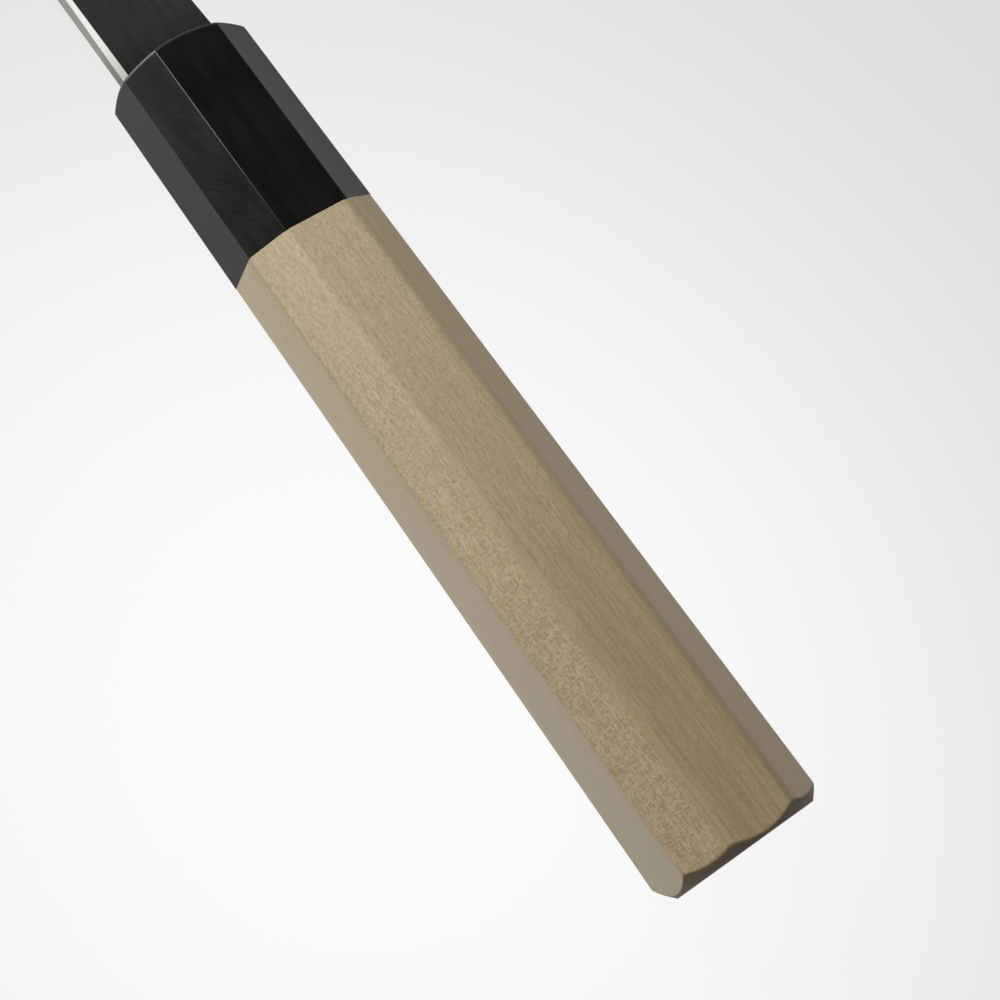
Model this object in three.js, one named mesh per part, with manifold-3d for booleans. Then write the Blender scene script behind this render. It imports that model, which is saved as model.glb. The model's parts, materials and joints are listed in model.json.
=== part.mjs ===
// Sujihiki: a long slicing knife with an eight-sided wooden handle and a horn ferrule.
// The knife is drawn along X from the butt to the tip, with the spine towards +Y and
// the sides of the blade towards +Z and -Z. It is then laid down on its left side.
import * as THREE from 'three';
import { mergeVertices } from 'three/addons/utils/BufferGeometryUtils.js';
import Module from 'manifold-3d';

// Driving dimensions in millimetres. Heights run along Y, widths and thicknesses along Z.

// Eight-sided grip, shared by the wooden body and the ferrule
const BUTT_HEIGHT = 24.6;
const BUTT_WIDTH = 20.2;
const BUTT_CORNER_CUT = 4.4;
const FRONT_HEIGHT = 20.9;
const FRONT_WIDTH = 16.2;
const FRONT_CORNER_CUT = 3.45;
const CORNER_SLOPE = 1.48;
const BODY_LENGTH = 107.2;
const FERRULE_LENGTH = 32.4;

// Oval chamfer round the butt, and the turned bevel round the front of the ferrule
const BUTT_CHAMFER_INSET = 0.3;
const BUTT_CHAMFER_ANGLE = 43;
const FRONT_BEVEL_OUTSET = 0.05;
const FRONT_BEVEL_ANGLE = 23;

// Fits between pieces
const FIT_GAP = 0.3;
const TENON_DIAMETER = 13.4;
const TENON_LENGTH = 23.5;
const BEDDING_WALL = 0.7;
const SEAL_WALL = 0.8;

// Tang
const TANG_LENGTH = 90;
const TANG_ROOT_HEIGHT = 9;
const TANG_ROOT_THICKNESS = 3;
const TANG_END_HEIGHT = 5.5;
const TANG_END_THICKNESS = 2;

// Neck
const NECK_LENGTH = 17.7;
const NECK_THICKNESS = 3.2;
const NECK_DEPTH = 17;
const NECK_NARROWING = 0.65;
const CHOIL_RADIUS = 8;
const SPINE_RISE = 8.85;
const SPINE_CHAMFER_WIDTH = 0.68;
const SPINE_CHAMFER_DEPTH = 0.9;

// Blade
const BLADE_LENGTH = 270;
const HEEL_HEIGHT = 37;
const SPINE_DROP = 9;
const SPINE_DROP_LENGTH = 80;
const EDGE_SWEEP = 4.5;
const HEEL_THICKNESS = 2.6;
const FRONT_THICKNESS = 1.5;
const TIP_THICKNESS = 0.6;
const TIP_HEIGHT = 0.8;
const FLAT_DEPTH = 13;
const FLAT_FALL = 0.2;
const FLAT_START = 30;
const FLAT_END = 70;
const BEVEL_HEIGHT = 0.9;
const BEVEL_THICKNESS = 0.36;
const EDGE_THICKNESS = 0.08;

// Largest shares of the blade's height and thickness that its details take near the tip
const FLAT_SHARE = 0.45;
const DETAIL_SHARE = 0.25;
const BEVEL_SHARE = 0.8;

// Convex grind between the flat and the edge bevel: its places and its curve
const GRIND_PLACES = [0.3, 0.65, 1];
const GRIND_CURVE = 1.5;

// Number of flats on round surfaces, and of rings along the blade
const ROUND_STEPS = 72;
const ARC_STEPS = 10;
const NECK_RINGS = 18;
const FLAT_RINGS = 14;
const TIP_RINGS = 16;

// How far solids overlap where they are joined or cut through
const OVERLAP = 1;

// Places along the knife
const shoulderX = BODY_LENGTH;
const ferruleBackX = shoulderX + FIT_GAP;
const ferruleFrontX = ferruleBackX + FERRULE_LENGTH;
const neckX = ferruleFrontX + FIT_GAP;
const heelX = neckX + NECK_LENGTH;
const tipX = heelX + BLADE_LENGTH;
const tangEndX = neckX - TANG_LENGTH;
const flatStartX = heelX + FLAT_START;
const flatEndX = tipX - FLAT_END;

// Heights along the blade
const tipY = SPINE_RISE - SPINE_DROP;
const heelY = SPINE_RISE - HEEL_HEIGHT;
const undersideY = SPINE_RISE - NECK_DEPTH;

const wasm = await Module();
wasm.setup();

// Turns a closed three.js geometry into a solid that can be joined and cut.
function solid(geometry) {
  const bare = new THREE.BufferGeometry();
  bare.setAttribute('position', geometry.getAttribute('position'));
  bare.setIndex(geometry.getIndex());
  const merged = mergeVertices(bare);
  const corners = merged.getIndex().array;
  const triangles = [];
  for (let i = 0; i < corners.length; i += 3) {
    const [a, b, c] = [corners[i], corners[i + 1], corners[i + 2]];
    if (a !== b && b !== c && c !== a) {
      triangles.push(a, b, c);
    }
  }
  return new wasm.Manifold(new wasm.Mesh({
    numProp: 3,
    vertProperties: new Float32Array(merged.getAttribute('position').array),
    triVerts: new Uint32Array(triangles),
  }));
}

// Names a finished solid and gives it its material.
function piece(name, body, look) {
  const { vertProperties, triVerts } = body.getMesh();
  const geometry = new THREE.BufferGeometry();
  geometry.setAttribute('position', new THREE.BufferAttribute(vertProperties, 3));
  geometry.setIndex(new THREE.BufferAttribute(triVerts, 1));
  geometry.computeVertexNormals();
  const mesh = new THREE.Mesh(geometry, new THREE.MeshStandardMaterial(look));
  mesh.name = name;
  return mesh;
}

// Skins a row of rings, each turning from +Y to +Z, and closes both ends.
function loft(rings) {
  const count = rings[0].length;
  const index = [];
  for (let r = 0; r + 1 < rings.length; r += 1) {
    for (let k = 0; k < count; k += 1) {
      const a = r * count + k;
      const b = r * count + ((k + 1) % count);
      index.push(a, b, a + count, b, b + count, a + count);
    }
  }
  const last = (rings.length - 1) * count;
  for (let k = 1; k + 1 < count; k += 1) {
    index.push(0, k + 1, k, last, last + k, last + k + 1);
  }
  const geometry = new THREE.BufferGeometry();
  geometry.setFromPoints(rings.flat());
  geometry.setIndex(index);
  return solid(geometry);
}

// Turns a profile of [radius, x] points round the X axis, flattened along Z by the ratio.
function turned(profile, ratio = 1) {
  const points = profile.map(([radius, x]) => new THREE.Vector2(radius, x));
  const geometry = new THREE.LatheGeometry(points, ROUND_STEPS);
  geometry.rotateZ(-Math.PI / 2);
  geometry.scale(1, 1, ratio);
  return solid(geometry);
}

function rod(diameter, startX, endX) {
  const radius = diameter / 2;
  return turned([[0, startX], [radius, startX], [radius, endX], [0, endX]]);
}

function mix(from, to, share) {
  return from + (to - from) * share;
}

// Ring of the eight-sided grip at a place along the handle.
function gripRing(x) {
  const share = x / ferruleFrontX;
  const height = mix(BUTT_HEIGHT, FRONT_HEIGHT, share) / 2;
  const width = mix(BUTT_WIDTH, FRONT_WIDTH, share) / 2;
  const cutWidth = mix(BUTT_CORNER_CUT, FRONT_CORNER_CUT, share);
  const cutHeight = cutWidth * CORNER_SLOPE;
  const quarter = [[height, width - cutWidth], [height - cutHeight, width]];
  const half = [...quarter, ...quarter.map(([y, z]) => [-y, z]).reverse()];
  const ring = [...half, ...half.map(([y, z]) => [y, -z]).reverse()];
  return ring.map(([y, z]) => new THREE.Vector3(x, y, z));
}

// Ring of the tang at a place along it, grown on every side for a pocket or a sleeve.
function tangRing(x, growth = 0) {
  const share = (neckX - x) / TANG_LENGTH;
  const y = mix(TANG_ROOT_HEIGHT, TANG_END_HEIGHT, share) / 2 + growth;
  const z = mix(TANG_ROOT_THICKNESS, TANG_END_THICKNESS, share) / 2 + growth;
  return [[y, -z], [y, z], [-y, z], [-y, -z]].map((at) => new THREE.Vector3(x, ...at));
}

function tangBlock(startX, endX, growth = 0) {
  return loft([tangRing(startX, growth), tangRing(endX, growth)]);
}

// Clearances round the tang, from the steel outwards
const sleeveInside = FIT_GAP;
const beddingOutside = FIT_GAP + BEDDING_WALL;
const pocketSide = beddingOutside + FIT_GAP;
const sealOutside = FIT_GAP + SEAL_WALL;
const mouthSide = sealOutside + FIT_GAP;
const tenonEndX = shoulderX + TENON_LENGTH;
const boreEndX = tenonEndX + FIT_GAP;
const beddingEndX = tangEndX - beddingOutside;
const pocketEndX = beddingEndX - FIT_GAP;

// Wooden body: tapered grip, chamfered butt, tenon and tang pocket.
function handleBody() {
  const flatHeight = BUTT_HEIGHT / 2 - BUTT_CHAMFER_INSET;
  const flatWidth = BUTT_WIDTH / 2 - BUTT_CHAMFER_INSET;
  const spread = BODY_LENGTH * Math.tan(THREE.MathUtils.degToRad(BUTT_CHAMFER_ANGLE));
  const chamfer = [[0, 0], [flatHeight, 0], [flatHeight + spread, BODY_LENGTH], [0, BODY_LENGTH]];
  const grip = loft([gripRing(0), gripRing(shoulderX)]);
  return grip
    .intersect(turned(chamfer, flatWidth / flatHeight))
    .add(rod(TENON_DIAMETER, shoulderX - OVERLAP, tenonEndX))
    .subtract(tangBlock(pocketEndX, tenonEndX + OVERLAP, pocketSide));
}

// Horn ferrule: same taper as the wood, blind bore, tang slot and a turned bevel round the
// front that leaves the side facets whole, so that the knife lies on a straight edge.
function ferrule() {
  const cornerHeight = FRONT_HEIGHT / 2 - FRONT_CORNER_CUT * CORNER_SLOPE;
  const flatRadius = Math.hypot(cornerHeight, FRONT_WIDTH / 2) + FRONT_BEVEL_OUTSET;
  const spread = FERRULE_LENGTH / Math.tan(THREE.MathUtils.degToRad(FRONT_BEVEL_ANGLE));
  const bevel = [
    [0, ferruleBackX],
    [flatRadius + spread, ferruleBackX],
    [flatRadius, ferruleFrontX],
    [0, ferruleFrontX],
  ];
  return loft([gripRing(ferruleBackX), gripRing(ferruleFrontX)])
    .intersect(turned(bevel))
    .subtract(rod(TENON_DIAMETER + 2 * FIT_GAP, ferruleBackX - OVERLAP, boreEndX))
    .subtract(tangBlock(boreEndX - OVERLAP, ferruleFrontX + OVERLAP, mouthSide));
}

// Resin sleeve that beds the tang in the wood, closed behind the end of the tang.
function tangBedding() {
  const pocket = tangBlock(tangEndX - sleeveInside, tenonEndX + OVERLAP, sleeveInside);
  return tangBlock(beddingEndX, tenonEndX, beddingOutside).subtract(pocket);
}

// Seal round the tang in the front wall of the ferrule.
function mouthSeal() {
  const opening = tangBlock(boreEndX - OVERLAP, ferruleFrontX + OVERLAP, sleeveInside);
  return tangBlock(boreEndX, ferruleFrontX - FIT_GAP, sealOutside).subtract(opening);
}

// Height of the spine, which stays straight and then dips towards the tip.
function spineAt(x) {
  const dip = Math.max(0, (x - (tipX - SPINE_DROP_LENGTH)) / SPINE_DROP_LENGTH);
  return SPINE_RISE - (SPINE_DROP - TIP_HEIGHT / 2) * dip ** 2;
}

// Height of the cutting edge, nearly straight from the heel and sweeping up to the tip.
function edgeAt(x) {
  const share = Math.max(0, (x - heelX) / BLADE_LENGTH);
  return mix(heelY, tipY - TIP_HEIGHT / 2, share ** EDGE_SWEEP);
}

// Thickness under the spine chamfer: neck, then the even taper of the blade, then the tip.
function spineThicknessAt(x) {
  if (x > flatEndX) {
    return mix(FRONT_THICKNESS, TIP_THICKNESS, (x - flatEndX) / FLAT_END);
  }
  const bladeShare = (x - flatStartX) / (flatEndX - flatStartX);
  const blade = mix(HEEL_THICKNESS, FRONT_THICKNESS, bladeShare);
  return mix(NECK_THICKNESS, blade, THREE.MathUtils.smoothstep(x, heelX - CHOIL_RADIUS, flatStartX));
}

// Ring of the blade: spine flat, chamfer, flat side, convex grind, bevel and edge.
function bladeRing(x) {
  const top = spineAt(x);
  const bottom = edgeAt(x);
  const height = top - bottom;
  const spine = spineThicknessAt(x) / 2;
  const grind = THREE.MathUtils.smoothstep(x, neckX, heelX);
  const chamferDepth = Math.min(SPINE_CHAMFER_DEPTH, height * DETAIL_SHARE);
  const chamferWidth = SPINE_CHAMFER_WIDTH * (2 * spine / NECK_THICKNESS);
  const flatDepth = Math.min(FLAT_DEPTH, height * FLAT_SHARE);
  const bevelHeight = Math.min(BEVEL_HEIGHT, height * DETAIL_SHARE);
  const flatHalf = spine - FLAT_FALL * grind * Math.min(1, spine / (FRONT_THICKNESS / 2));
  const bevelHalf = Math.min(BEVEL_THICKNESS / 2, flatHalf * BEVEL_SHARE);
  const side = [[top, spine - chamferWidth], [top - chamferDepth, spine], [top - flatDepth, flatHalf]];
  for (const share of GRIND_PLACES) {
    const y = mix(top - flatDepth, bottom + bevelHeight, share);
    const ground = mix(flatHalf, bevelHalf, share ** GRIND_CURVE);
    side.push([y, share < 0.5 ? mix(spine, ground, grind) : ground]);
  }
  side.push([bottom, EDGE_THICKNESS / 2]);
  const ring = [...side, ...side.map(([y, z]) => [y, -z]).reverse()];
  return ring.map(([y, z]) => new THREE.Vector3(x, y, z));
}

// Places of the blade's rings: closer together where the neck blends in and at the tip.
function bladePlaces() {
  const spans = [
    [neckX, flatStartX, NECK_RINGS],
    [flatStartX, flatEndX, FLAT_RINGS],
    [flatEndX, tipX, TIP_RINGS],
  ];
  const places = [];
  for (const [from, to, steps] of spans) {
    for (let k = 0; k < steps; k += 1) {
      places.push(mix(from, to, k / steps));
    }
  }
  return [...places, tipX];
}

// Space under the neck and behind the heel, with a round choil.
function choilSpace() {
  const outline = new THREE.Shape();
  const arcX = heelX - CHOIL_RADIUS;
  const arcY = undersideY + NECK_NARROWING;
  outline.moveTo(neckX - OVERLAP, heelY - OVERLAP);
  outline.lineTo(heelX, heelY - OVERLAP);
  outline.lineTo(heelX, arcY - CHOIL_RADIUS);
  outline.absarc(arcX, arcY - CHOIL_RADIUS, CHOIL_RADIUS, 0, Math.PI / 2, false);
  outline.lineTo(neckX, undersideY);
  outline.lineTo(neckX - OVERLAP, undersideY);
  const depth = 2 * NECK_THICKNESS;
  const geometry = new THREE.ExtrudeGeometry(outline, {
    depth,
    bevelEnabled: false,
    curveSegments: ARC_STEPS,
  });
  geometry.translate(0, 0, -depth / 2);
  return solid(geometry);
}

// Blade, neck and tang as one forging.
function blade() {
  return loft(bladePlaces().map(bladeRing))
    .subtract(choilSpace())
    .add(tangBlock(tangEndX, neckX + OVERLAP));
}

const steel = { color: 0x8c8d8c, roughness: 0.18, metalness: 1 };
const horn = { color: 0x17181a, roughness: 0.25, metalness: 0 };
const paleWood = { color: 0xb5a27e, roughness: 0.6, metalness: 0 };
const resin = { color: 0x6b5636, roughness: 0.5, metalness: 0 };
const wax = { color: 0x2a2622, roughness: 0.5, metalness: 0 };

const knife = new THREE.Group();
knife.add(
  piece('handle_body', handleBody(), paleWood),
  piece('ferrule', ferrule(), horn),
  piece('blade', blade(), steel),
  piece('tang_bedding', tangBedding(), resin),
  piece('mouth_seal', mouthSeal(), wax),
);

// Laid on its left side the knife leans nose down, on the front of the ferrule and the tip.
const restLean = Math.atan2(FRONT_WIDTH / 2 - TIP_THICKNESS / 2, tipX - ferruleFrontX);
knife.rotation.y = restLean;

const lying = new THREE.Group();
lying.add(knife);
lying.updateMatrixWorld(true);
const box = new THREE.Box3().setFromObject(lying, true);
const centre = box.getCenter(new THREE.Vector3());
knife.position.set(-centre.x, -centre.y, -box.min.z);

export default lying;
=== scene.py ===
# Sujihiki knife: eight-sided pale wooden grip, black horn ferrule and a polished blade,
# lying on its left side on a white table in soft studio light.
import json
import math

import bmesh
import bpy
from mathutils import Matrix, Vector


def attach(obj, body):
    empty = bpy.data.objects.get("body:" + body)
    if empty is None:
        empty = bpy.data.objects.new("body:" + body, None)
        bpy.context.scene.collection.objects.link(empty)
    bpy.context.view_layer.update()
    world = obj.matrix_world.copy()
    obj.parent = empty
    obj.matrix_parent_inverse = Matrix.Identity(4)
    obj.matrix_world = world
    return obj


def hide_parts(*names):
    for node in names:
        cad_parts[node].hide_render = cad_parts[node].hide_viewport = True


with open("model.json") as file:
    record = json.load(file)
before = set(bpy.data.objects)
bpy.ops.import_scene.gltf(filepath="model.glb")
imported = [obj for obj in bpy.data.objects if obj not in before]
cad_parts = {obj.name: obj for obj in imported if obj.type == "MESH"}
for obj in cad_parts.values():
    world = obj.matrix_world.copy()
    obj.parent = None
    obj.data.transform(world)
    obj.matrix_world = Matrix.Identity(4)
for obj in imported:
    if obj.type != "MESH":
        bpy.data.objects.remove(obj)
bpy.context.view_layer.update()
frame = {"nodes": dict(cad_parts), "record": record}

# Sizes in millimetres and angles in degrees. The knife's own axes: X from the butt to the tip,
# Y towards the spine, Z out of the right side.
MM = 0.001
UNIT = (1, 1, 1)

# Eight-sided grip, shared by the wood and the ferrule
BUTT_HEIGHT = 24.6
BUTT_WIDTH = 20.2
BUTT_CORNER_CUT = 4.4
FRONT_HEIGHT = 20.9
FRONT_WIDTH = 16.2
FRONT_CORNER_CUT = 3.45
CORNER_SLOPE = 1.48
JOINT_X = 107.35
FRONT_X = 139.9

# Softness of the long edges beside the spine and belly facets and of those beside the side
# facets, and of the rims
WOOD_SOFTNESS = (0.25, 0.8)
HORN_SOFTNESS = (0.03, 0.07)
EDGE_STEPS = 5
WOOD_RIM = 0.22
WOOD_RIM_STEPS = 3
JOINT_RIM_SHARE = 0.25
RIM_ANGLE = 28
HORN_RIM = 0.45
HORN_RIM_STEPS = 5
RIM_WEAR = 0.3

# Oval chamfer round the butt, a little off the middle as it was shaped by hand
CHAMFER_INSET_Y = 0.15
CHAMFER_INSET_Z = 0.75
CHAMFER_ANGLE = 43
CHAMFER_SHIFT = (0, -0.3, 0.3)
CHAMFER_TURN = 3

# Front of the ferrule: a flat middle inside a shallow dome, a little nearer to the spine
DOME_RADIUS = 25
DOME_LEVEL = 10.6
DOME_SHIFT = 0.35
FLAT_RADIUS = 7.8
DOME_RINGS = 6
DOME_RING_SHARE = 0.9
FACET_CUTS = 9
SIDE_FALL = 0.028

# The spine's chamfer narrows from the ferrule to the heel: share of its depth at each end
NECK_X = 140.2
HEEL_X = 157.9
SPINE_Y = 8.85
CHAMFER_DEPTH = 0.9
CHAMFER_SHARE = (0.99, 0.64)
FLAT_SHARE = 0.575

# Hidden joinery
TENON_RADIUS = 6.7
TENON_END = 130.7
FIT_GAP = 0.3
POCKET_START = 48.6
POCKET_END = 131.7
POCKET_HEIGHT = (8, 11.2)
POCKET_THICKNESS = (4.6, 5.4)
MOUTH_START = 130
MOUTH_END = 142
MOUTH_HEIGHT = (11.8, 11.8)
MOUTH_THICKNESS = (5.8, 5.8)

# Fineness of the shapes
ROUND_STEPS = 144
OVERLAP = 1
WELD_REACH = 0.001
SHORTEST_EDGE = 0.2
SHORTEST_FACET_END = 1
SHORTEST_LONG_EDGE = 10
ON_LINE = 0.05
SAME_PLANE_ANGLE = 0.05
HORN_CREASE = 50
STEEL_CREASE = 4


def mix(first, last, share):
    return first + (last - first) * share


def knife_to_row():
    """Matrix from the knife's own millimetres to the row frame in metres."""
    butt = next(m for m in frame["record"]["mounts"] if m["name"] == "butt_end")
    along = -Vector(butt["axis"])
    across = Vector((0, 1, 0))
    turn = Matrix((along, across, along.cross(across))).transposed()
    return Matrix.Translation(butt["pos_m"]) @ turn.to_4x4() @ Matrix.Scale(MM, 4)


PLACE = knife_to_row()


# Building

def grip_corners(x):
    """Corners (y, z) of the eight-sided grip at a place along it, in turning order."""
    share = x / FRONT_X
    height = mix(BUTT_HEIGHT, FRONT_HEIGHT, share) / 2
    width = mix(BUTT_WIDTH, FRONT_WIDTH, share) / 2
    corner = mix(BUTT_CORNER_CUT, FRONT_CORNER_CUT, share)
    quarter = [(height, width - corner), (height - corner * CORNER_SLOPE, width)]
    half = quarter + [(-y, z) for y, z in reversed(quarter)]
    return half + [(-y, -z) for y, z in half]


def turning_order(vert):
    return math.atan2(vert.co.z, vert.co.y) % math.tau


def eight_sided(start, end):
    """Tapered eight-sided bar with sharp edges."""
    bm = bmesh.new()
    ring = bmesh.ops.create_circle(bm, cap_ends=True, segments=8, radius=1)["verts"]
    for vert, (y, z) in zip(ring, grip_corners(start)):
        vert.co = (start, y, z)
    pulled = bmesh.ops.extrude_face_region(bm, geom=bm.faces[:])["geom"]
    far = [v for v in pulled if isinstance(v, bmesh.types.BMVert)]
    for vert, (y, z) in zip(sorted(far, key=turning_order), grip_corners(end)):
        vert.co = (end, y, z)
    bmesh.ops.recalc_face_normals(bm, faces=bm.faces[:])
    return bm


def is_long(edge):
    return abs(edge.verts[0].co.x - edge.verts[1].co.x) > SHORTEST_LONG_EDGE


def is_by_spine_or_belly(edge):
    return abs(edge.verts[0].co.y) > abs(edge.verts[0].co.z)


def soften_long_edges(bm, softness):
    """Rounds the lengthwise edges of a bar and marks the roundings as worn."""
    worn = bm.faces.layers.float.new("worn")
    for by_spine_or_belly, offset in zip((True, False), softness):
        chosen = [e for e in bm.edges if is_long(e) and is_by_spine_or_belly(e) == by_spine_or_belly]
        rounded = bmesh.ops.bevel(
            bm, geom=chosen, offset=offset, offset_type="OFFSET", segments=EDGE_STEPS, profile=0.5,
            affect="EDGES", material=-1,
        )
        for face in rounded["faces"]:
            face[worn] = 1


def dome_height(radius):
    return math.sqrt(DOME_RADIUS ** 2 - radius ** 2)


def dome_rise(y, z):
    """How far the front of the ferrule stands forward at a place on it."""
    radius = max(FLAT_RADIUS, math.hypot(y - DOME_SHIFT, z))
    return dome_height(radius) - dome_height(DOME_LEVEL)


def front_face(bm):
    return max(bm.faces, key=lambda face: face.calc_center_median().x)


def lay_on_dome(front, drop):
    for vert in front.verts:
        vert.co.x = FRONT_X + dome_rise(vert.co.y, vert.co.z) - drop


def draw_in(bm, front, share, drop):
    """Insets the front face to a share of its size and lays it a drop below the dome."""
    ring = bmesh.ops.inset_individual(bm, faces=[front], thickness=0)["faces"]
    bmesh.ops.scale(bm, verts=front.verts[:], vec=(1, share, share))
    lay_on_dome(front, drop)
    return ring


def dome_front(bm):
    """Rounds the rim of a bar's front, marked as a little worn, and domes the front inside it."""
    facet_ends = [e for e in front_face(bm).edges if e.calc_length() > SHORTEST_FACET_END]
    bmesh.ops.subdivide_edges(bm, edges=facet_ends, cuts=FACET_CUTS)
    front = front_face(bm)
    worn = bm.faces.layers.float["worn"]
    turns = [math.pi / 2 * step / HORN_RIM_STEPS for step in range(HORN_RIM_STEPS + 1)]
    lay_on_dome(front, HORN_RIM)
    for vert in front.verts:
        vert.co.z *= 1 - SIDE_FALL * max(0, vert.co.x - FRONT_X) / (FRONT_WIDTH / 2)
    for turn, following in zip(turns, turns[1:]):
        narrowing = HORN_RIM * (math.cos(turn) - math.cos(following))
        drop = HORN_RIM * (1 - math.sin(following))
        for face in draw_in(bm, front, 1 - narrowing / DOME_LEVEL, drop):
            face[worn] = RIM_WEAR
    for _ in range(DOME_RINGS):
        draw_in(bm, front, DOME_RING_SHARE, 0)


def turned(profile, flattening=1):
    """Solid turned round the X axis from (radius, x) points, flattened along Z."""
    bm = bmesh.new()
    verts = [bm.verts.new((x, radius, 0)) for radius, x in profile]
    edges = [bm.edges.new(pair) for pair in zip(verts, verts[1:])]
    bmesh.ops.spin(
        bm, geom=verts + edges, cent=(0, 0, 0), axis=(1, 0, 0), angle=math.tau,
        steps=ROUND_STEPS, use_merge=True,
    )
    bmesh.ops.remove_doubles(bm, verts=bm.verts[:], dist=WELD_REACH)
    bmesh.ops.scale(bm, verts=bm.verts[:], vec=(1, 1, flattening))
    bmesh.ops.recalc_face_normals(bm, faces=bm.faces[:])
    return bm


def rod(radius, start, end):
    return turned([(0, start), (radius, start), (radius, end), (0, end)])


def tapered_block(start, end, heights, thicknesses):
    """Block along X whose height and thickness change evenly from start to end."""
    bm = bmesh.new()
    bmesh.ops.create_cube(bm, size=1)
    for vert in bm.verts:
        far = vert.co.x > 0
        vert.co.x = end if far else start
        vert.co.y *= heights[far]
        vert.co.z *= thicknesses[far]
    return bm


def chamfer_oval():
    """Oval cone, as long as the wood, that trims its butt."""
    flat_height = BUTT_HEIGHT / 2 - CHAMFER_INSET_Y
    flat_width = BUTT_WIDTH / 2 - CHAMFER_INSET_Z
    wide = flat_height + JOINT_X * math.tan(math.radians(CHAMFER_ANGLE))
    oval = turned([(0, 0), (flat_height, 0), (wide, JOINT_X), (0, JOINT_X)], flat_width / flat_height)
    by_hand = Matrix.Rotation(math.radians(CHAMFER_TURN), 4, "X")
    by_hand = Matrix.Translation(CHAMFER_SHIFT) @ by_hand
    bmesh.ops.transform(oval, matrix=by_hand, verts=oval.verts[:])
    return oval


def loose_body(name, bm):
    mesh = bpy.data.meshes.new(name)
    bm.to_mesh(mesh)
    bm.free()
    body = bpy.data.objects.new(name, mesh)
    bpy.context.scene.collection.objects.link(body)
    return body


def cut(body, how, bm):
    """Joins, cuts or trims a body with another shape, which is used up."""
    tool = loose_body("tool", bm)
    step = body.modifiers.new("cut", "BOOLEAN")
    step.operation = how
    step.object = tool
    graph = bpy.context.evaluated_depsgraph_get()
    body.data = bpy.data.meshes.new_from_object(body.evaluated_get(graph))
    body.modifiers.clear()
    bpy.data.objects.remove(tool)


def rim_share(edge):
    """How round an edge of the wood is: fully where the chamfer is deep, a little at the joint."""
    x = min(vert.co.x for vert in edge.verts)
    if edge.calc_face_angle(0) < math.radians(RIM_ANGLE):
        return 0
    if x < POCKET_START - OVERLAP:
        return min(1, x)
    outer = math.hypot(edge.verts[0].co.y, edge.verts[0].co.z) > TENON_RADIUS + FIT_GAP
    return JOINT_RIM_SHARE if outer else 0


def ends_long_edge(vert):
    return max(edge.calc_length() for edge in vert.link_edges) > POCKET_START


def weld_strays(bm):
    """Welds points of the chamfer's border onto lengthwise edges that end close by."""
    targets = {}
    for edge in bm.edges:
        ends = [v for v in edge.verts if ends_long_edge(v)]
        if edge.calc_length() < SHORTEST_EDGE and len(ends) == 1:
            targets[edge.other_vert(ends[0])] = ends[0]
    bmesh.ops.weld_verts(bm, targetmap=targets)


def soften_rims(body):
    """Rounds the rims of the wood."""
    bm = bmesh.new()
    bm.from_mesh(body.data)
    weld_strays(bm)
    weight = bm.edges.layers.float.new("bevel_weight_edge")
    for edge in bm.edges:
        edge[weight] = rim_share(edge)
    bm.to_mesh(body.data)
    bm.free()
    soft = body.modifiers.new("soft rims", "BEVEL")
    soft.limit_method = "WEIGHT"
    soft.width = WOOD_RIM * MM
    soft.segments = WOOD_RIM_STEPS
    soft.use_clamp_overlap = False


def stand_for(body, node, finish):
    """Gives a body its finish and lets it stand for its CAD node."""
    body.data.materials.clear()
    body.data.materials.append(finish)
    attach(body, "root")
    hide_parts(node)


def lay_in_place(body):
    """Lays a body in its place, with even light on its facets."""
    body.data.transform(PLACE)
    even = body.modifiers.new("even facets", "WEIGHTED_NORMAL")
    even.keep_sharp = True


def wood_grip(finish):
    """Pale grip: soft eight-sided bar, oval chamfer at the butt, tenon and tang pocket."""
    bar = eight_sided(0, JOINT_X)
    soften_long_edges(bar, WOOD_SOFTNESS)
    body = loose_body("wood_grip", bar)
    pocket = tapered_block(POCKET_START, POCKET_END, POCKET_HEIGHT, POCKET_THICKNESS)
    cut(body, "INTERSECT", chamfer_oval())
    cut(body, "UNION", rod(TENON_RADIUS, JOINT_X - OVERLAP, TENON_END))
    cut(body, "DIFFERENCE", pocket)
    body.data.shade_smooth()
    soften_rims(body)
    lay_in_place(body)
    stand_for(body, "handle_body", finish)


def blade_shape():
    bm = bmesh.new()
    bm.from_mesh(frame["nodes"]["blade"].data)
    bmesh.ops.remove_doubles(bm, verts=bm.verts[:], dist=WELD_REACH * MM)
    return bm


def horn_ferrule(finish):
    """Black collar: crisp eight-sided bar, domed front, bore, tang's mouth and neck's seat."""
    bar = eight_sided(JOINT_X, FRONT_X)
    soften_long_edges(bar, HORN_SOFTNESS)
    dome_front(bar)
    body = loose_body("horn_ferrule", bar)
    neck = blade_shape()
    bmesh.ops.transform(neck, matrix=PLACE.inverted(), verts=neck.verts[:])
    cut(body, "DIFFERENCE", rod(TENON_RADIUS + FIT_GAP, JOINT_X - OVERLAP, TENON_END + FIT_GAP))
    cut(body, "DIFFERENCE", tapered_block(MOUTH_START, MOUTH_END, MOUTH_HEIGHT, MOUTH_THICKNESS))
    cut(body, "DIFFERENCE", neck)
    body.data.shade_smooth()
    body.data.set_sharp_from_angle(angle=math.radians(HORN_CREASE))
    lay_in_place(body)
    stand_for(body, "ferrule", finish)


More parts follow.
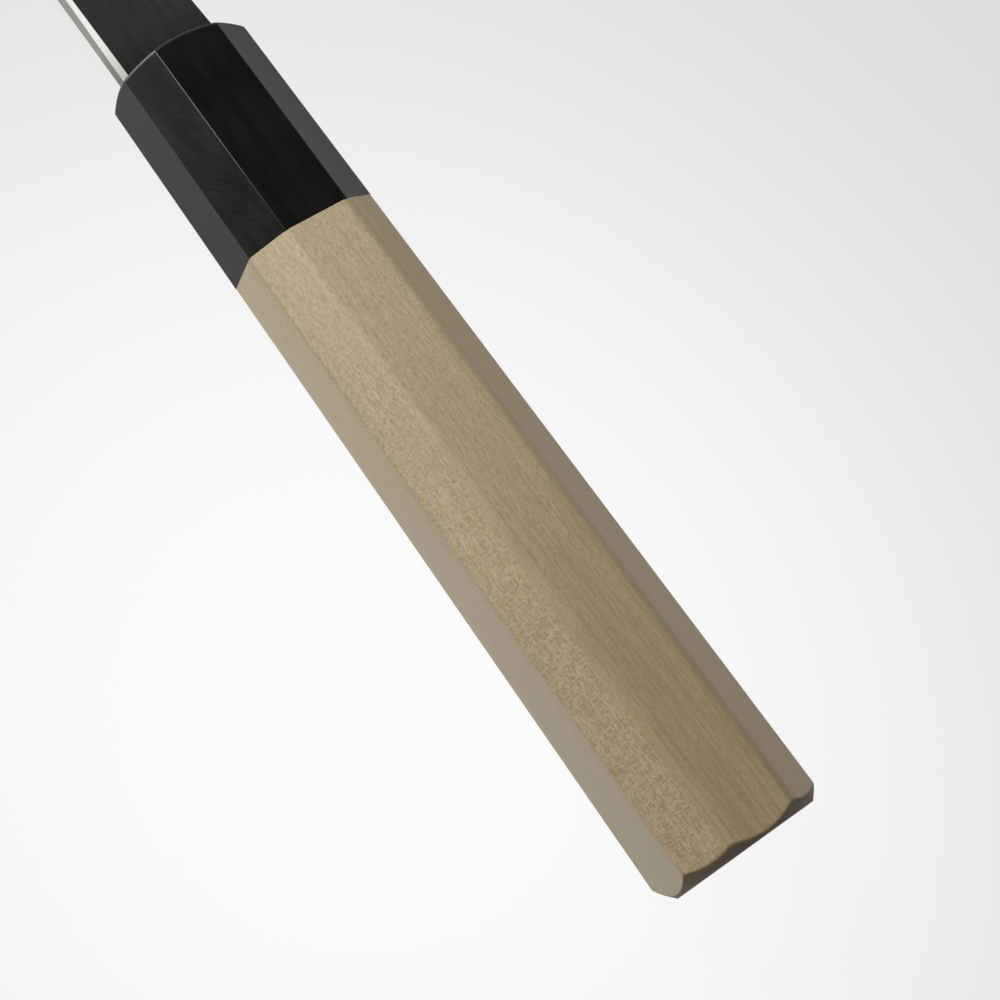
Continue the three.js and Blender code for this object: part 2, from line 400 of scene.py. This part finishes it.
def narrow_chamfer(bm):
    """Lets the spine's chamfer narrow from the ferrule to the heel, on both sides of the neck."""
    to_knife = PLACE.inverted()
    for vert in bm.verts:
        x, y, z = to_knife @ vert.co
        if x < NECK_X - OVERLAP:
            continue
        below_spine = SPINE_Y - y
        share = mix(*CHAMFER_SHARE, min(1, max(0, (x - NECK_X) / (HEEL_X - NECK_X))))
        if abs(below_spine - CHAMFER_DEPTH) < ON_LINE:
            vert.co = PLACE @ Vector((x, SPINE_Y - below_spine * share, z))
        if abs(below_spine) < ON_LINE:
            vert.co = PLACE @ Vector((x, y, z * mix(1, FLAT_SHARE, share) / FLAT_SHARE))


def polished_blade(finish):
    """Blade, neck and tang with crisp grind lines between smooth faces."""
    bm = blade_shape()
    narrow_chamfer(bm)
    same_plane = math.radians(SAME_PLANE_ANGLE)
    bmesh.ops.dissolve_limit(bm, angle_limit=same_plane, verts=bm.verts[:], edges=bm.edges[:])
    body = loose_body("polished_blade", bm)
    body.data.shade_smooth()
    body.data.set_sharp_from_angle(angle=math.radians(STEEL_CREASE))
    stand_for(body, "blade", finish)


# Finishes

CLOUD_REACH = (0.3, 0.7)
CLOUD_MIDDLE = 0.5
THREAD_REACH = (0.05, 0.01)


class Graph:
    """A node tree under construction: adds nodes and joins them."""

    def __init__(self, tree):
        self.tree = tree

    def add(self, kind, **settings):
        node = self.tree.nodes.new("ShaderNode" + kind)
        for name, value in settings.items():
            setattr(node, name, value)
        return node

    def feed(self, node, socket, source):
        """Sets an input, or joins it to another node's output."""
        if isinstance(source, bpy.types.NodeSocket):
            self.tree.links.new(source, node.inputs[socket])
        else:
            node.inputs[socket].default_value = source

    def work(self, operation, *values):
        node = self.add("Math", operation=operation)
        for socket, value in enumerate(values):
            self.feed(node, socket, value)
        return node.outputs["Value"]

    def compare(self, operation, first, second):
        """Distance between two places, or product of two directions."""
        node = self.add("VectorMath", operation=operation)
        self.feed(node, 0, first)
        self.feed(node, 1, second)
        return node.outputs["Value"]

    def times(self, first, *others):
        for other in others:
            first = self.work("MULTIPLY", first, other)
        return first

    def apart(self, first, second):
        return self.work("ABSOLUTE", self.work("SUBTRACT", first, second))

    def spread(self, value, low, high, first=0.0, last=1.0):
        """Eases from first to last while the value goes from low to high."""
        reach = self.add("MapRange", interpolation_type="SMOOTHSTEP")
        sockets = ("Value", "From Min", "From Max", "To Min", "To Max")
        for socket, source in zip(sockets, (value, low, high, first, last)):
            self.feed(reach, socket, source)
        return reach.outputs["Result"]

    def parts(self, vector):
        split = self.add("SeparateXYZ")
        self.feed(split, "Vector", vector)
        return split.outputs

    def tint(self, base, colour, amount):
        """Blends a colour over the base by an amount from 0 to 1."""
        blend = self.add("Mix", data_type="RGBA")
        for socket, source in ((0, amount), (6, base), (7, colour)):
            self.feed(blend, socket, source)
        return blend.outputs[2]

    def shown(self):
        return self.add("LightPath").outputs["Is Camera Ray"]

    def mirrored(self):
        path = self.add("LightPath").outputs
        return self.work("MAXIMUM", path["Is Glossy Ray"], path["Is Transmission Ray"])


class Finish(Graph):
    """A material under construction."""

    def __init__(self, name):
        self.material = bpy.data.materials.new(name)
        self.material.use_nodes = True
        super().__init__(self.material.node_tree)
        self.shader = self.tree.nodes["Principled BSDF"]

    def coat(self, **values):
        """Feeds inputs of the shader, named with low lines for spaces."""
        for name, value in values.items():
            self.feed(self.shader, name.replace("_", " "), value)

    def place(self, size=UNIT, turn=0, slant=0):
        """Place in the knife's axes, turned round X and then slanted, with the sizes as units."""
        axes = PLACE @ Matrix.Rotation(math.radians(turn), 4, "X")
        axes = axes @ Matrix.Rotation(math.radians(slant), 4, "Z")
        where = self.add("Mapping", vector_type="TEXTURE")
        self.feed(where, "Vector", self.add("TexCoord").outputs["Object"])
        self.feed(where, "Location", axes.translation)
        self.feed(where, "Rotation", axes.to_euler())
        self.feed(where, "Scale", [length * MM for length in size])
        return where.outputs["Vector"]

    def cloud(self, size, turn, slant, detail):
        """Cloudy noise with grains of the given lengths."""
        noise = self.add("TexNoise")
        self.feed(noise, "Vector", self.place(size, turn, slant))
        self.feed(noise, "Scale", 1.0)
        self.feed(noise, "Detail", detail)
        return noise.outputs["Fac"]

    def grains(self, size, reach=CLOUD_REACH, turn=0, slant=0, detail=2.0):
        """Cloudy noise spread from 0 to 1."""
        return self.spread(self.cloud(size, turn, slant, detail), *reach)

    def threads(self, size, turn=0, slant=0, detail=2.0):
        """Thin threads winding through cloudy noise."""
        off_middle = self.apart(self.cloud(size, turn, slant, detail), CLOUD_MIDDLE)
        return self.spread(off_middle, *THREAD_REACH)

    def relief(self, height, depth):
        """Bump of a depth in millimetres."""
        bump = self.add("Bump")
        self.feed(bump, "Height", height)
        self.feed(bump, "Distance", depth * MM)
        self.feed(bump, "Strength", 1.0)
        self.feed(self.shader, "Normal", bump.outputs["Normal"])


# The wood's grain axes are turned so that one of them stands square on the facet beside the
# spine: along the grip, across that facet towards the spine, and outward from the heart
GRAIN_TURN = -34
GRAIN_TAPER = 0.0136

CREAM = (0.47, 0.385, 0.256, 1)
TAN = (0.40, 0.302, 0.17, 1)
BROWN = (0.26, 0.187, 0.09, 1)
PALE = (0.54, 0.45, 0.29, 1)
# Colour of the painted shade along the edge between the side and belly facets
SHADE_OLIVE = (0.2, 0.16, 0.092, 1)
# Colour of the painted sheen on the spine facet
SHEEN_GREY = (0.36, 0.325, 0.27, 1)
# Darker end grain, also painting shade on the butt's backward-facing chamfer
END_GRAIN_AND_SHADE_BROWN = (0.205, 0.148, 0.08, 1)

# Where the facets begin and end in the grain axes, and how far the butt's end faces backwards
FLECKED_OUTWARD = (10.7, 11.4)
FLECKED_ACROSS = (-1.2, 0.8)
SPINE_EDGE = (8.0, 6.6)
SPINE_FACET = (7.2, 8.2)
BELLY_FACET = (-9.3, -10.5)
STREAKED_OUTWARD = (3.5, 6.5)
# Painted shade line along the edge between the side facet and the belly facet
EDGE_SHADE_OUTWARD = 4.9
EDGE_SHADE_REACH = (1.1, 0.2)
EDGE_SHADE_ACROSS = (-7.5, -8.5)
NET_ACROSS = (-1.5, 1.5)
END_FACING = (-0.3, -0.6)

# Sizes of the figures in the grain axes, and the reach of the noise that shows them
BAND = (70, 1.6, 6)
LINE = (14, 0.5, 0.5)
LINE_REACH = (0.46, 0.6)
STREAK = (1.7, 0.28, 0.28)
STREAK_REACH = (0.36, 0.64)
PORE = (0.75, 0.2, 0.2)
PORE_REACH = (0.53, 0.68)
DASH = (0.55, 0.34, 1.2)
DASH_REACH = (0.47, 0.6)
CROSS_THREAD = (0.42, 1.7, 1.2)
LONG_THREAD = (3.5, 0.4, 1.2)

# Changes along the grip: from one place to another, from one amount to another
TAN_GROWS = (105, 10)
WOVEN_GROWS = (60, 30)
LINES_GROW = (105, 20, 0.1, 0.5)
STREAKS_GROW = (105, 30, 0.25, 0.3)
DASHES_GROW = (105, 70, 0.5, 1)
NET_GROWS = (100, 50, 0.1, 0.5)
# Painted shade on the belly facet, growing towards the ferrule
BELLY_SHADE_GROWS = (60, 105, 0, 0.16)
SHEEN_GROWS = (105, 20, 0.35, 0.7)

# Amounts of the figures and of the painted shade and sheen; pairs are those away from the butt and in
# the woven part close to it
FACET_STREAKS = (0.2, 1)
SPINE_STREAKS = (0.45, 1)
# Painted shade: how far the belly facet is painted tan
BELLY_SHADE_TAN = 0.85
BAND_AMOUNT = 0.2
PORE_AMOUNT = 0.65
EDGE_SHADE_AMOUNT = 0.3
# Painted sheen: how grey the spine facet is painted towards the butt
SPINE_SHEEN_AMOUNT = 0.25
FLECKED_BROWN = (0.22, 0.58)
DASH_AMOUNT = (0.7, 0.6)
STREAK_DEPTH = 0.004


def straight_grain(made, colour, streaks, along, streaked):
    """Brown bands, lines, short streaks and pores that run lengthwise."""
    bands = made.grains(BAND, turn=GRAIN_TURN, detail=3)
    lines = made.grains(LINE, LINE_REACH, GRAIN_TURN, detail=3)
    pores = made.grains(PORE, PORE_REACH, GRAIN_TURN, detail=1)
    colour = made.tint(colour, BROWN, made.times(bands, streaked, BAND_AMOUNT))
    colour = made.tint(colour, BROWN, made.times(lines, streaked, made.spread(along, *LINES_GROW)))
    colour = made.tint(colour, BROWN, made.times(streaks, streaked, made.spread(along, *STREAKS_GROW)))
    return made.tint(colour, BROWN, made.times(pores, streaked, PORE_AMOUNT))


def ray_flecks(made, colour, along, across, flecked):
    """Brown dashes and a pale net of threads, which look woven close to the butt."""
    woven = made.spread(along, *WOVEN_GROWS)
    dashes = made.grains(DASH, DASH_REACH, GRAIN_TURN)
    dashes = made.times(dashes, made.spread(woven, 0, 1, *DASH_AMOUNT))
    dashes = made.times(dashes, made.spread(along, *DASHES_GROW))
    net = made.work("MAXIMUM", *(made.threads(size, GRAIN_TURN) for size in (CROSS_THREAD, LONG_THREAD)))
    net = made.times(net, made.spread(across, *NET_ACROSS), made.spread(along, *NET_GROWS))
    colour = made.tint(colour, BROWN, made.times(flecked, made.spread(woven, 0, 1, *FLECKED_BROWN)))
    colour = made.tint(colour, BROWN, made.times(flecked, dashes))
    return made.tint(colour, PALE, made.times(flecked, net))


def pale_wood():
    """Pale straight-grained wood: streaked on the side facets, with ray flecks beside the spine; painted
    shade on the belly facet and along its edge, darker end grain with painted shade on the butt's
    chamfer, and painted sheen beside the spine.
    """
    made = Finish("pale_wood")
    along, across, outward = made.parts(made.place(turn=GRAIN_TURN))
    from_heart = made.work("MULTIPLY_ADD", along, GRAIN_TAPER, outward)
    to_butt = made.spread(along, *TAN_GROWS)
    by_spine = made.spread(across, *SPINE_FACET)
    belly_shade = made.spread(across, *BELLY_FACET)
    off_spine = made.spread(across, *SPINE_EDGE)
    flecked = made.times(
        made.spread(from_heart, *FLECKED_OUTWARD), off_spine, made.spread(across, *FLECKED_ACROSS),
    )
    streaked = made.times(
        made.spread(from_heart, *STREAKED_OUTWARD, *FACET_STREAKS),
        made.spread(across, *SPINE_EDGE, *SPINE_STREAKS),
    )
    # Painted shade: a dark line along the rounded edge between the side facet and the belly facet.
    edge_shade = made.times(
        made.spread(made.apart(from_heart, EDGE_SHADE_OUTWARD), *EDGE_SHADE_REACH),
        made.spread(across, *EDGE_SHADE_ACROSS),
    )
    streaks = made.grains(STREAK, STREAK_REACH, GRAIN_TURN, detail=3)
    # Painted shade: the belly facet, turned away from the key lamp, is painted tan like the butt.
    colour = made.tint(CREAM, TAN, made.work("MAXIMUM", to_butt, made.times(belly_shade, BELLY_SHADE_TAN)))
    colour = straight_grain(made, colour, streaks, along, streaked)
    # Painted shade: the belly facet is painted browner towards the ferrule.
    colour = made.tint(colour, BROWN, made.times(belly_shade, made.spread(along, *BELLY_SHADE_GROWS)))
    # Painted shade: the olive line along the side and belly facets' edge.
    colour = made.tint(colour, SHADE_OLIVE, made.times(edge_shade, EDGE_SHADE_AMOUNT))
    # Painted sheen: the spine facet is painted greyer towards the butt, a painted reflection of the
    # white table seen at a grazing angle.
    colour = made.tint(colour, SHEEN_GREY, made.times(by_spine, to_butt, SPINE_SHEEN_AMOUNT))
    colour = ray_flecks(made, colour, along, across, flecked)
    # End grain is darker brown; the tint follows how far a face turns backwards, away from the key lamp,
    # so it also paints shade on the butt's chamfer.
    forward = made.parts(made.add("NewGeometry").outputs["Normal"])["X"]
    colour = made.tint(colour, END_GRAIN_AND_SHADE_BROWN, made.spread(forward, *END_FACING))
    made.coat(Base_Color=colour, Roughness=0.55, IOR=1.5)
    made.coat(Sheen_Weight=made.spread(along, *SHEEN_GROWS), Sheen_Roughness=0.4)
    made.relief(streaks, STREAK_DEPTH)
    return made.material


HORN_BLACK = (0.0045, 0.005, 0.0048, 1)
HORN_CLOUDED = (0.0078, 0.0084, 0.0086, 1)
HORN_CLOUD = (9, 2.5, 2.5)
POLISH_MARK = (7, 0.2, 7)
POLISH_SLANT = 35
HORN_ROUGHNESS = (0.08, 0.15)
WORN_ROUGHNESS = (0.75, 0.3)
WORN_REACH = 18


def black_horn():
    """Polished horn: near black, faintly clouded, with fine slanting polish marks."""
    made = Finish("black_horn")
    cloud = made.grains(HORN_CLOUD, detail=4)
    marks = made.grains(POLISH_MARK, slant=POLISH_SLANT, detail=3)
    uneven = made.times(made.work("ADD", marks, cloud), 0.5)
    rough = made.spread(uneven, 0, 1, *HORN_ROUGHNESS)
    worn = made.add("Attribute", attribute_name="worn").outputs["Fac"]
    along = made.parts(made.place())["X"]
    dulled = made.spread(along, JOINT_X, JOINT_X + WORN_REACH, *WORN_ROUGHNESS)
    made.coat(Base_Color=made.tint(HORN_BLACK, HORN_CLOUDED, cloud), IOR=1.51)
    made.coat(Roughness=made.work("MULTIPLY_ADD", worn, dulled, rough))
    return made.material


# Steel colour close to the ferrule, darker, and away from it
STEEL_BY_FERRULE = (0.4, 0.395, 0.37, 1)
STEEL_AWAY = (0.625, 0.622, 0.608, 1)
STEEL_LIGHTENS_REACH = (NECK_X + 0.5, NECK_X + 8)
STEEL_LINE = (30, 0.12, 0.12)
STEEL_LINE_DEPTH = 0.0004
STEEL_ROUGHNESS = (0.1, 0.18)


def polished_steel():
    """Polished steel with fine lengthwise lines, darker close to the ferrule."""
    made = Finish("polished_steel")
    lines = made.grains(STEEL_LINE, detail=3)
    # The steel's colour is darker close to the ferrule.
    away_from_ferrule = made.spread(made.parts(made.place())["X"], *STEEL_LIGHTENS_REACH)
    made.coat(Base_Color=made.tint(STEEL_BY_FERRULE, STEEL_AWAY, away_from_ferrule), Metallic=1.0)
    made.coat(Roughness=made.spread(lines, 0, 1, *STEEL_ROUGHNESS))
    made.relief(lines, STEEL_LINE_DEPTH)
    return made.material


RESIN_DARK = (0.2, 0.14, 0.07, 1)
RESIN_LIGHT = (0.3, 0.22, 0.12, 1)
WAX_DARK = (0.03, 0.027, 0.024, 1)
WAX_LIGHT = (0.06, 0.053, 0.047, 1)


def cloudy(name, dark, light, grain, roughness):
    """Dull filling of one colour, lighter and darker in clouds."""
    made = Finish(name)
    cloud = made.grains((grain, grain, grain))
    made.coat(Base_Color=made.tint(dark, light, cloud), Roughness=roughness)
    return made.material


# Stage

FLOOR_HALF = 3.0
FLOOR_COLOUR = (0.44, 0.435, 0.42, 1)
# Painted light: the table glows white, brightest in a pool beside the grip and dimmer away from it;
# polished surfaces see the glow only away from the grip
FLOOR_BRIGHT = (1, 1, 1, 1)
FLOOR_DIM = (0.745, 0.745, 0.745, 1)
POOL_CENTRE = (45, 30, -10)
POOL_REACH = (15, 175)
SHOWN_SHARE = 0.95
MIRRORED_SHARE = (0.05, 0.85)
MIRRORED_REACH = (47, 176)


def white_floor():
    """White table that glows, with a painted pool of light brightest beside the grip, and keeps a faint
    shadow.
    """
    bm = bmesh.new()
    bmesh.ops.create_grid(bm, x_segments=1, y_segments=1, size=FLOOR_HALF)
    floor = loose_body("white_floor", bm)
    made = Finish("white_table")
    made.coat(Base_Color=FLOOR_COLOUR, Roughness=0.9, Specular_IOR_Level=0.0)
    where = made.place()
    # Painted pool of light: the glow dims away from the grip.
    away = made.spread(made.compare("DISTANCE", where, POOL_CENTRE), *POOL_REACH)
    glow = made.add("Emission")
    made.feed(glow, "Color", made.tint(FLOOR_BRIGHT, FLOOR_DIM, away))
    shown = made.times(made.shown(), SHOWN_SHARE)
    # Painted light in reflections: polished surfaces see the glow only away from the grip.
    aside = made.work("ABSOLUTE", made.parts(where)["Y"])
    mirrored = made.times(made.mirrored(), made.spread(aside, *MIRRORED_REACH, *MIRRORED_SHARE))
    blend = made.add("MixShader")
    made.feed(blend, 0, made.work("MAXIMUM", shown, mirrored))
    made.feed(blend, 1, made.shader.outputs["BSDF"])
    made.feed(blend, 2, glow.outputs["Emission"])
    made.feed(made.tree.nodes["Material Output"], "Surface", blend.outputs["Shader"])
    floor.data.materials.append(made.material)


# Tent of light: walls under a dark ceiling, with a window by the spine and one by the tip
TENT_TOP = (37, 45)
WALL_LIGHT = 0.3
WALL_FRONT = 0.2
WALL_SIDES = 0.25
CEILING_LIGHT = 0.038
WINDOW_SIDE = 65
WINDOW_REACH = (26, 12)
WINDOW_LIGHT = 0.95
FRONT_SIDE = 15
FRONT_REACH = (0.9, 0.97)
FRONT_LIGHT = 6.2

# White sheets that show only in polished surfaces: a roof with a gap over the belly side, open
# towards the spine, and a wall behind the butt
ROOF_LIGHT = 0.75
ROOF_EDGE = (0.42, 0.18)
GAP_SIDE = (0.38, -0.425, 0.825)
GAP_REACH = (24, 13)
BACK_LIGHT = 0.55
BACK_REACH = (-0.1, -0.5)


def lit_walls(made, x, y):
    """Walls lighter towards the tip and the spine, with their two windows."""
    off_window = made.apart(made.work("ARCTAN2", y, x), math.radians(WINDOW_SIDE))
    window = made.spread(off_window, *map(math.radians, WINDOW_REACH))
    front = math.radians(FRONT_SIDE)
    ahead = made.work("ADD", made.times(x, math.cos(front)), made.times(y, math.sin(front)))
    by_spine = made.work("MAXIMUM", y, 0)
    walls = made.work("MULTIPLY_ADD", x, WALL_FRONT, WALL_LIGHT)
    walls = made.work("MULTIPLY_ADD", made.times(by_spine, by_spine), WALL_SIDES, walls)
    walls = made.work("MULTIPLY_ADD", window, WINDOW_LIGHT, walls)
    return made.work("MULTIPLY_ADD", made.spread(ahead, *FRONT_REACH), FRONT_LIGHT, walls)


def mirrored_sheets(made, direction, x, y, over_walls):
    """The roof and the wall behind the butt that show in polished surfaces."""
    to_gap = made.compare("DOT_PRODUCT", direction, GAP_SIDE)
    far, near = (math.cos(math.radians(reach)) for reach in GAP_REACH)
    roof = made.times(over_walls, made.spread(to_gap, far, near, ROOF_LIGHT, 0))
    roof = made.times(roof, made.spread(y, *ROOF_EDGE))
    back = made.spread(x, *BACK_REACH, 0, BACK_LIGHT)
    return made.times(made.mirrored(), made.work("MAXIMUM", roof, back))


def light_tent():
    """Tent of light round the table, white where the camera sees it."""
    world = bpy.data.worlds.new("light_tent")
    bpy.context.scene.world = world
    world.use_nodes = True
    made = Graph(world.node_tree)
    direction = made.add("TexCoord").outputs["Generated"]
    x, y, z = made.parts(direction)
    low, high = (math.sin(math.radians(angle)) for angle in TENT_TOP)
    under_top = made.spread(z, low, high, 1, 0)
    over_walls = made.spread(z, low, high)
    light = made.work("MULTIPLY_ADD", lit_walls(made, x, y), under_top, CEILING_LIGHT)
    light = made.work("MAXIMUM", light, mirrored_sheets(made, direction, x, y, over_walls))
    background = made.tree.nodes["Background"]
    made.feed(background, "Strength", made.work("MAXIMUM", light, made.shown()))
    made.feed(background, "Color", (1, 1, 1, 1))


KEY_PLACE = (251, 97, 250)
KEY_AIM = (107, 0, 0)
KEY_SIZE = 50
KEY_POWER = 0.69


def key_lamp():
    """Small softbox above the heel of the blade."""
    lamp = bpy.data.lights.new("key_lamp", "AREA")
    lamp.size = KEY_SIZE * MM
    lamp.energy = KEY_POWER
    holder = bpy.data.objects.new("key_lamp", lamp)
    holder.location = PLACE @ Vector(KEY_PLACE)
    aim = PLACE @ Vector(KEY_AIM) - holder.location
    holder.rotation_euler = aim.to_track_quat("-Z", "Y").to_euler()
    bpy.context.scene.collection.objects.link(holder)


CAMERA_PLACE = (0.16, 168.41, 340.90)
CAMERA_AIM = (59.96, -1.31, 0)
CAMERA_UP = (0.8006, -0.4684, 0.3736)
LENS = 97.72
SENSOR = 36
NEAR_CLIP = 10
FAR_CLIP = 100000


def camera():
    """Camera above the spine side of the grip, looking down on it."""
    lens = bpy.data.cameras.new("camera")
    lens.lens = LENS
    lens.sensor_width = SENSOR
    lens.clip_start = NEAR_CLIP * MM
    lens.clip_end = FAR_CLIP * MM
    holder = bpy.data.objects.new("camera", lens)
    turn = PLACE.to_3x3().normalized()
    back = (turn @ (Vector(CAMERA_PLACE) - Vector(CAMERA_AIM))).normalized()
    right = (turn @ Vector(CAMERA_UP)).cross(back).normalized()
    up = back.cross(right)
    view = Matrix((right, up, back)).transposed().to_4x4()
    view.translation = PLACE @ Vector(CAMERA_PLACE)
    holder.matrix_world = view
    bpy.context.scene.collection.objects.link(holder)
    bpy.context.scene.camera = holder


def dress_node(node, finish):
    mesh = frame["nodes"][node].data
    mesh.materials.clear()
    mesh.materials.append(finish)


wood_grip(pale_wood())
horn_ferrule(black_horn())
polished_blade(polished_steel())
dress_node("tang_bedding", cloudy("bedding_resin", RESIN_DARK, RESIN_LIGHT, grain=4, roughness=0.5))
dress_node("mouth_seal", cloudy("seal_wax", WAX_DARK, WAX_LIGHT, grain=3, roughness=0.45))
white_floor()
light_tent()
key_lamp()
camera()
bpy.context.scene.view_settings.view_transform = "Standard"
